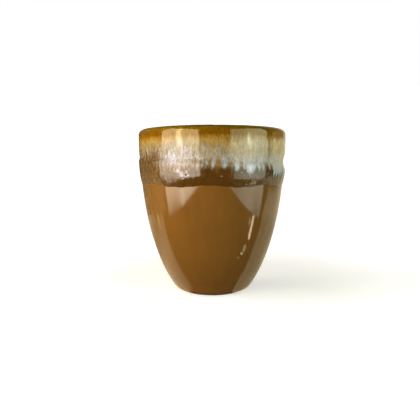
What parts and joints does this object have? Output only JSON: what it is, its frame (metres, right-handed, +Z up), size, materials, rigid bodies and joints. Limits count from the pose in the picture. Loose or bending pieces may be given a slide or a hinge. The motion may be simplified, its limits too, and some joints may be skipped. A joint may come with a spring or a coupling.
{
  "type": "latte mug",
  "caption": "Handleless latte mug in glazed stoneware, egg-shaped and narrowing to a bare foot ring, with a thick running glaze over its lip.",
  "frame": {"origin": "centre of the foot ring's underside, where the mug meets the table", "axes": "+Z up along the mug's axis, towards the lip; -Y towards the viewer of the pictured side"},
  "size_m": [0.0854, 0.0854, 0.094],
  "materials": {
    "bare_stoneware": "unglazed, matt",
    "brown_glaze": "glossy",
    "liner_brown_glaze": "glossy",
    "recess_brown_glaze": "glossy",
    "running_glaze": "glossy, reactive"
  },
  "bodies": {
    "root": {"clay_body": "bare_stoneware", "outside_glaze": "brown_glaze", "liner_glaze": "liner_brown_glaze", "foot_recess_glaze": "recess_brown_glaze", "running_rim_glaze": "running_glaze"}
  },
  "joints": []
}
